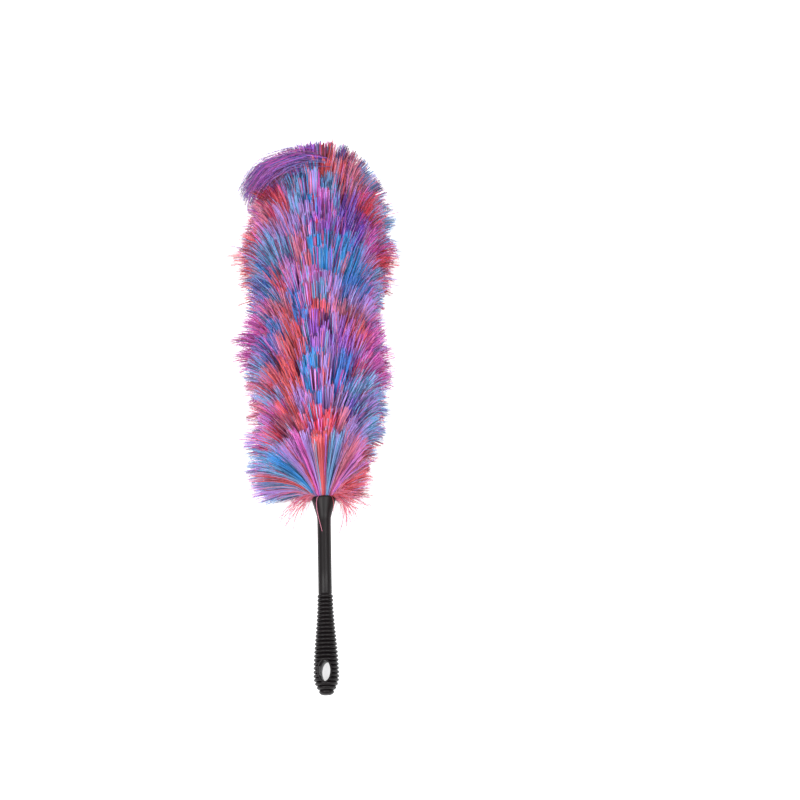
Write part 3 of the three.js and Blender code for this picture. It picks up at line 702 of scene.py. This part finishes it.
layer = np.linspace(0, 1, SWEPT_LOCKS)
shape = (SWEPT_LOCKS, FIBRES_PER_LOCK)
column = layer[:, None] * np.ones(shape)
azimuth, gather = lock_azimuths(between(*SWEPT_AZIMUTH, layer), SWEPT_LOCK_ANGLE)
swept = [
    SWEPT_FOOT + random.uniform(-SWEPT_BAND, SWEPT_BAND, shape),
    np.full(shape, SLEEVE_RADIUS),
    azimuth + strewn("azimuth"),
    between(*SWEPT_LENGTH, column) * (1 + strewn("length")),
    between(*SWEPT_ROOT, column) + strewn("root"),
    between(*SWEPT_TIP, column) * (1 + strewn("tip")),
    np.full(shape, SWEPT_EARLY),
    between(*SWEPT_DRIFT, column) + gather * GATHERED + strewn("drift"),
    FIBRE_WIDTH * random.uniform(*SWEPT_WIDTHS, shape),
    np.full(shape, SWEPT_TIP_WIDTH),
    mixed(
        any_dye(SWEPT_DYES, SWEPT_LOCKS),
        np.full(SWEPT_LOCKS, SWEPT_PURITY),
        any_dye(SWEPT_MIXED_IN, (SWEPT_LOCKS, wisp_of_fibre[-1] + 1)),
    ),
    lock_shades(SWEPT_LOCKS, *SWEPT_SHADES),
]
grown("fibre_tuft", [[v.ravel() for v in swept]], "fibre_section_4", steps=SWEPT_STEPS)

# Loose fibres
# Single fibres that have worked loose at the mouth of the socket. They curl back over its lip, under
# the head and along the shaft, and one lies on the funnel.
LOOSE_LONG, LOOSE_LEFT, LOOSE_RIGHT = 20, 30, 74
LOOSE_WIDTH, LOOSE_WIDTHS, LOOSE_TIP_WIDTH = 0.0006, (0.7, 1.2), 0.6
LOOSE_STEPS = 8
LOOSE_DYES = ("coral", "salmon", "salmon")
FIRST_ROOT_TO_MOUTH = 0.0058
LOOSE_BAND, LOOSE_RADII = (0, 0.0008), (0.0088, 0.011)


def loose(count, azimuths, lengths, roots, tips, drifts, early=(1.6, 4.0)):
    """Loose fibres with the limits of their azimuth, length, lean, drift and how early they bend."""
    pick = lambda limits: random.uniform(*limits, count)
    return [
        FIRST_ROOT + FIRST_ROOT_TO_MOUTH + pick(LOOSE_BAND), pick(LOOSE_RADII),
        np.radians(pick(azimuths)), pick(lengths), np.radians(pick(roots)), np.radians(pick(tips)),
        pick(early), pick(drifts), LOOSE_WIDTH * pick(LOOSE_WIDTHS), np.full(count, LOOSE_TIP_WIDTH),
        any_dye(LOOSE_DYES, count), random.integers(MIDDLE_SHADE, len(SHADES), count),
    ]


# The limits of the long ones and the values of the single one come from such a search too
grown("loose_fibres", [
    loose(LOOSE_LONG, (-112, -45), (0.046, 0.068), (57, 107), (130, 178), (-0.5, 0.05), (1.2, 3.0)),
    loose(LOOSE_LEFT, (-130, -40), (0.025, 0.05), (50, 90), (110, 175), (-0.4, 0.4)),
    loose(LOOSE_RIGHT, (40, 130), (0.025, 0.058), (50, 90), (100, 190), (-0.7, 0.7)),
    loose(1, (-21, -21), (0.057, 0.057), (89, 89), (214, 214), (0.18, 0.18), (4.0, 4.0)),
], steps=LOOSE_STEPS)

# Handle
# One moulding of black polypropylene: a grip of 24 rounded ribs, an oval hanging hole with a smooth
# collar, a plain shaft and a funnel that the head sits in. The mould parts along its sides.
BUTT_LENGTH, BUTT_RADIUS, BUTT_FLAT_RADIUS = 0.0051, 0.0079, 0.0026
RIB_COUNT, RIB_PITCH, BELLY_RIB_NUMBER = 24, 0.0042, 3
BUTT_RIB_RADIUS, BELLY_RIB_RADIUS, NECK_RIB_RADIUS = 0.010, 0.0136, 0.0084
BELLY_RIB_DEPTH, NECK_RIB_DEPTH, RIB_SLIMNESS = 0.003, 0.0018, 1.35
HOLE_WIDTH, HOLE_LENGTH, HOLE_FROM_BUTT = 0.012, 0.0215, 0.0245
HOLE_LEAN = math.radians(5)  # to the left
HOLE_DRAFT = 0.0005  # narrower all round at the middle of the hole
COLLAR_WALL, COLLAR_HALF_HEIGHT, COLLAR_ROUNDING = 0.0016, 0.0124, 0.0005
SHAFT_GRIP_RADIUS, SHAFT_FUNNEL_RADIUS = 0.0072, 0.0074
SHAFT_LENGTH, FUNNEL_LENGTH, LIP_LENGTH = 0.0845, 0.019, 0.0026
FUNNEL_RADIUS, FUNNEL_WALL, LIP_ROUNDING = 0.0129, 0.0015, 0.0009
BORE_RADIUS = 0.0043
PARTING_LINE, PARTING_SPREAD = 0.00012, 0.04  # its height, and its half width as a sine
OUTSIDE_SHARE = 0.9  # of the shaft's radius: what is wider than this lies on the outside
WAIST_ROUNDING, CONE_ROUNDING = 0.004, 0.0009
SHAFT_RING_SHARES = (0.3, 0.65)
CUT_SHARE = 1.5  # of the belly's radius: how far the bar that cuts the hole reaches
SHARP_ANGLE = math.radians(42)
DOME_STEPS, RIB_STEPS, BEND_STEPS, HANDLE_SIDES, OVAL_SIDES = 8, 10, 6, 112, 72

grip_end = BUTT_LENGTH + RIB_COUNT * RIB_PITCH
shaft_end = grip_end + SHAFT_LENGTH
funnel_end = shaft_end + FUNNEL_LENGTH
rim = funnel_end + LIP_LENGTH


def rib_crest(place):
    """The radius over the ribs, with the place counted in ribs from the butt."""
    if place < BELLY_RIB_NUMBER:
        return between(BELLY_RIB_RADIUS, BUTT_RIB_RADIUS, (1 - place / BELLY_RIB_NUMBER) ** 2)
    share = smooth((place - BELLY_RIB_NUMBER) / (RIB_COUNT - 1 - BELLY_RIB_NUMBER))
    return between(BELLY_RIB_RADIUS, NECK_RIB_RADIUS, share)


def rib_depth(place):
    share = (rib_crest(place) - NECK_RIB_RADIUS) / (BELLY_RIB_RADIUS - NECK_RIB_RADIUS)
    return between(NECK_RIB_DEPTH, BELLY_RIB_DEPTH, share)


def rounded(before, corner, after, reach):
    """Points of (radius, place) that round a corner of an outline."""
    before, corner, after = (np.array(p) for p in (before, corner, after))
    start = corner + (before - corner) / np.linalg.norm(before - corner) * reach
    end = corner + (after - corner) / np.linalg.norm(after - corner) * reach
    return [
        tuple((1 - t) ** 2 * start + 2 * t * (1 - t) * corner + t**2 * end)
        for t in np.linspace(0, 1, BEND_STEPS)
    ]


def handle_outline():
    """Points of (radius, place) from the butt over the outside and back to the end of the bore."""
    outline = [(BUTT_FLAT_RADIUS, 0.0)]
    for angle in np.linspace(0, math.pi / 2, DOME_STEPS + 1)[1:]:
        radius = between(BUTT_FLAT_RADIUS, BUTT_RADIUS, math.sin(angle))
        outline.append((radius, (BUTT_LENGTH - RIB_PITCH / 4) * (1 - math.cos(angle))))
    for rib in range(RIB_COUNT):
        for angle in np.linspace(0, math.pi, RIB_STEPS + 1)[: -1 if rib < RIB_COUNT - 1 else None]:
            place = (1 - math.cos(angle)) / 2
            middle = rib + place - 0.5
            radius = rib_crest(middle) - rib_depth(middle) * (1 - math.sin(angle) ** RIB_SLIMNESS)
            outline.append((radius, BUTT_LENGTH + (rib + place) * RIB_PITCH))
    neck, waist = (SHAFT_GRIP_RADIUS, grip_end + RIB_PITCH / 4), (SHAFT_FUNNEL_RADIUS, shaft_end)
    cone_end, lip = (FUNNEL_RADIUS, funnel_end), (FUNNEL_RADIUS, rim)
    outline.append(neck)
    for share in SHAFT_RING_SHARES:
        outline.append((between(neck[0], waist[0], share), between(neck[1], waist[1], share)))
    outline += rounded(neck, waist, cone_end, WAIST_ROUNDING)
    outline += rounded(waist, cone_end, lip, CONE_ROUNDING)
    outline += rounded(cone_end, lip, (0, rim), LIP_ROUNDING)
    mouth = (FUNNEL_RADIUS - FUNNEL_WALL, rim)
    slope = (FUNNEL_RADIUS - SHAFT_FUNNEL_RADIUS) / FUNNEL_LENGTH
    floor_place = shaft_end + FUNNEL_WALL
    floor_radius = SHAFT_FUNNEL_RADIUS - FUNNEL_WALL + slope * FUNNEL_WALL
    outline += rounded(lip, mouth, (FUNNEL_RADIUS - FUNNEL_WALL, funnel_end), LIP_ROUNDING / 3)
    outline += [(FUNNEL_RADIUS - FUNNEL_WALL, funnel_end), (floor_radius, floor_place)]
    outline += [(BORE_RADIUS, floor_place), (BORE_RADIUS, ROD_START)]
    return np.array(outline)


def turned(outline, sides, ridge):
    """The points and faces of a closed body turned round the axis, with a ridge along both sides."""
    angle = 2 * math.pi * np.arange(sides) / sides
    swell = ridge * np.exp(-((np.cos(angle) / PARTING_SPREAD) ** 2))
    radius = outline[:, :1] + swell * (outline[:, :1] > SHAFT_GRIP_RADIUS * OUTSIDE_SHARE)
    along = np.repeat(outline[:, 1:], sides, 1)
    points = np.stack([radius * np.sin(angle), along, radius * np.cos(angle)], -1).reshape(-1, 3)
    ends = [[0, outline[0, 1], 0], [0, outline[-1, 1], 0]]
    ring = np.arange(len(outline) - 1)[:, None] * sides
    side = np.arange(sides)[None, :]
    after = (side + 1) % sides
    walls = np.stack([ring + side, ring + after, ring + sides + after, ring + sides + side], -1)
    first, last, top = len(points), len(points) + 1, (len(outline) - 1) * sides
    side, after = side[0], after[0]
    fans = [
        np.stack([np.full(sides, first), after, side], -1),
        np.stack([top + side, top + after, np.full(sides, last)], -1),
    ]
    return np.concatenate([points, ends]), [walls.reshape(-1, 4), np.concatenate(fans)]


def oval_bar(name, layers):
    """A closed upright bar through the grip with an oval outline. A layer is its height and growth."""
    angle = 2 * math.pi * np.arange(OVAL_SIDES) / OVAL_SIDES
    points = []
    for height, grown in layers:
        x, y = (HOLE_WIDTH / 2 + grown) * np.cos(angle), (HOLE_LENGTH / 2 + grown) * np.sin(angle)
        lean, upright = math.sin(HOLE_LEAN), math.cos(HOLE_LEAN)
        across, up = x * upright - height * lean, x * lean + height * upright
        points.append(np.stack([across, HOLE_FROM_BUTT + y, up], -1))
    ring = np.arange(len(layers) - 1)[:, None] * OVAL_SIDES
    side = np.arange(OVAL_SIDES)[None, :]
    after = (side + 1) % OVAL_SIDES
    walls = np.stack([ring + side, ring + after, ring + OVAL_SIDES + after, ring + OVAL_SIDES + side], -1)
    top = np.arange(OVAL_SIDES) + (len(layers) - 1) * OVAL_SIDES
    ends = np.stack([np.arange(OVAL_SIDES)[::-1], top])
    mesh = solid_mesh(name, np.concatenate(points), [walls.reshape(-1, 4), ends])
    return bpy.data.objects.new(name, mesh)


black_plastic, finish = plastic("black_polypropylene", **{"Specular IOR Level": 0.2})
grain = finish.noise(finish.node("TexCoord", result="Object"), 1600, 3.0)
cloud = finish.noise(finish.node("TexCoord", result="Object"), 90, 3.0)
finish.feed(
    finish.shader,
    {
        "Base Color": finish.mix(cloud, (0.006, 0.0045, 0.005, 1), (0.01, 0.0078, 0.0085, 1)),
        "Roughness": 0.34 + cloud * 0.12,
        "Normal": finish.node("Bump", (), {"Strength": 0.12, "Distance": 0.0001, "Height": grain}),
    },
)

reach = BELLY_RIB_RADIUS * CUT_SHARE
collar_growth = COLLAR_WALL - COLLAR_ROUNDING
collar = oval_bar("collar", [
    (-COLLAR_HALF_HEIGHT, collar_growth), (COLLAR_ROUNDING - COLLAR_HALF_HEIGHT, COLLAR_WALL),
    (COLLAR_HALF_HEIGHT - COLLAR_ROUNDING, COLLAR_WALL), (COLLAR_HALF_HEIGHT, collar_growth),
])
hole = oval_bar("hole", [
    (-reach, COLLAR_ROUNDING), (-COLLAR_HALF_HEIGHT, COLLAR_ROUNDING),
    (COLLAR_ROUNDING - COLLAR_HALF_HEIGHT, 0), (-PARTING_LINE * 3, -HOLE_DRAFT),
    (0, -HOLE_DRAFT - PARTING_LINE), (PARTING_LINE * 3, -HOLE_DRAFT),
    (COLLAR_HALF_HEIGHT - COLLAR_ROUNDING, 0),
    (COLLAR_HALF_HEIGHT, COLLAR_ROUNDING), (reach, COLLAR_ROUNDING),
])
body_points, body_faces = turned(handle_outline(), HANDLE_SIDES, PARTING_LINE)
body = bpy.data.objects.new("body", solid_mesh("body", body_points, body_faces))
for helper in (collar, hole, body):
    bpy.context.scene.collection.objects.link(helper)
for helper, operation in ((collar, "UNION"), (hole, "DIFFERENCE")):
    cut = body.modifiers.new(operation, "BOOLEAN")
    cut.object, cut.operation, cut.solver = helper, operation, "MANIFOLD"
bpy.context.view_layer.update()
moulding = bpy.data.meshes.new_from_object(body.evaluated_get(bpy.context.evaluated_depsgraph_get()))
for helper in (collar, hole, body):
    bpy.data.objects.remove(helper)
moulding.transform(OWN_FRAME)
for vertex in moulding.vertices:
    vertex.co.z = max(vertex.co.z, 0)
moulding.polygons.foreach_set("use_smooth", np.ones(len(moulding.polygons), bool))
moulding.set_sharp_from_angle(angle=SHARP_ANGLE)
shown("handle_moulding", moulding, black_plastic, "handle", "handle")
dress("rod_tip_cap", black_plastic)

# The studio: a pale floor, soft light from above and the sides, and the camera
FLOOR_SIDE, FLOOR_DROP = 30.0, 0.0002
FLOOR_COLOUR = (0.82, 0.82, 0.83, 1)
CAMERA_PLACE = Vector((0.1016, -0.639, 1.3897))
CAMERA_LOOK = Vector((-0.0072, 0.4337, -0.901)).normalized()
CAMERA_ROLL = math.radians(-1.875)
CAMERA_LENS = 59.56
SENSOR_WIDTH = 36.0
# Place, side and power of each lamp
SOFTBOXES = (((-1.0, -0.8, 1.9), 1.2, 40.0), ((1.0, -0.6, 1.9), 1.2, 34.0))
WORLD_LEVEL = 0.34
FLOOR_GLOW = 0.7  # seen by the lens and in mirrored rays only


def to_lens(finish, mirrored):
    """1 for the rays of the lens, and also for mirrored ones if asked, and 0 for those that light."""
    path = finish.node("LightPath")
    outputs = path.socket.node.outputs
    seen = [Value(finish, outputs[n]) for n in ("Is Camera Ray", "Is Transmission Ray", "Is Glossy Ray")]
    straight = seen[0].maths("MAXIMUM", seen[0], seen[1])
    return straight.maths("MAXIMUM", straight, seen[2]) if mirrored else straight


floor_paint, finish = plastic(
    "pale_floor", Roughness=0.9, **{"Base Color": FLOOR_COLOUR, "Emission Strength": FLOOR_GLOW}
)
glow = finish.mix(to_lens(finish, True), (0, 0, 0, 1), (1, 1, 1, 1))
finish.feed(finish.shader, {"Emission Color": glow})
floor_points = np.array([(-1, -1, 0), (1, -1, 0), (1, 1, 0), (-1, 1, 0)]) * FLOOR_SIDE / 2
floor_mesh = solid_mesh("floor", floor_points, [np.array([[0, 1, 2, 3]])])
floor_mesh.materials.append(floor_paint)
floor = bpy.data.objects.new("floor", floor_mesh)
floor.location.z = -FLOOR_DROP
bpy.context.scene.collection.objects.link(floor)

world = bpy.data.worlds.new("studio")
bpy.context.scene.world = world
world.use_nodes = True
finish = Finish(world.node_tree, "Background")
sky = (WORLD_LEVEL, WORLD_LEVEL, WORLD_LEVEL, 1)
finish.feed(finish.shader, {"Color": finish.mix(to_lens(finish, False), sky, (1, 1, 1, 1))})

for number, (place, side, power) in enumerate(SOFTBOXES):
    softbox = bpy.data.lights.new(f"softbox_{number + 1}", "AREA")
    softbox.size, softbox.energy = side, power
    light = bpy.data.objects.new(softbox.name, softbox)
    light.location = place
    light.rotation_euler = (-Vector(place)).to_track_quat("-Z", "Y").to_euler()
    bpy.context.scene.collection.objects.link(light)

lens = bpy.data.cameras.new("camera")
lens.lens, lens.sensor_width = CAMERA_LENS, SENSOR_WIDTH
camera = bpy.data.objects.new("camera", lens)
level_right = CAMERA_LOOK.cross(Vector((0, 1, 0))).normalized()
level_up = level_right.cross(CAMERA_LOOK)
right = level_right * math.cos(CAMERA_ROLL) + level_up * math.sin(CAMERA_ROLL)
upward = level_up * math.cos(CAMERA_ROLL) - level_right * math.sin(CAMERA_ROLL)
facing = Matrix((right, upward, -CAMERA_LOOK)).transposed().to_4x4()
camera.matrix_world = Matrix.Translation(CAMERA_PLACE) @ facing
bpy.context.scene.collection.objects.link(camera)
bpy.context.scene.camera = camera
bpy.context.scene.view_settings.view_transform = "Standard"
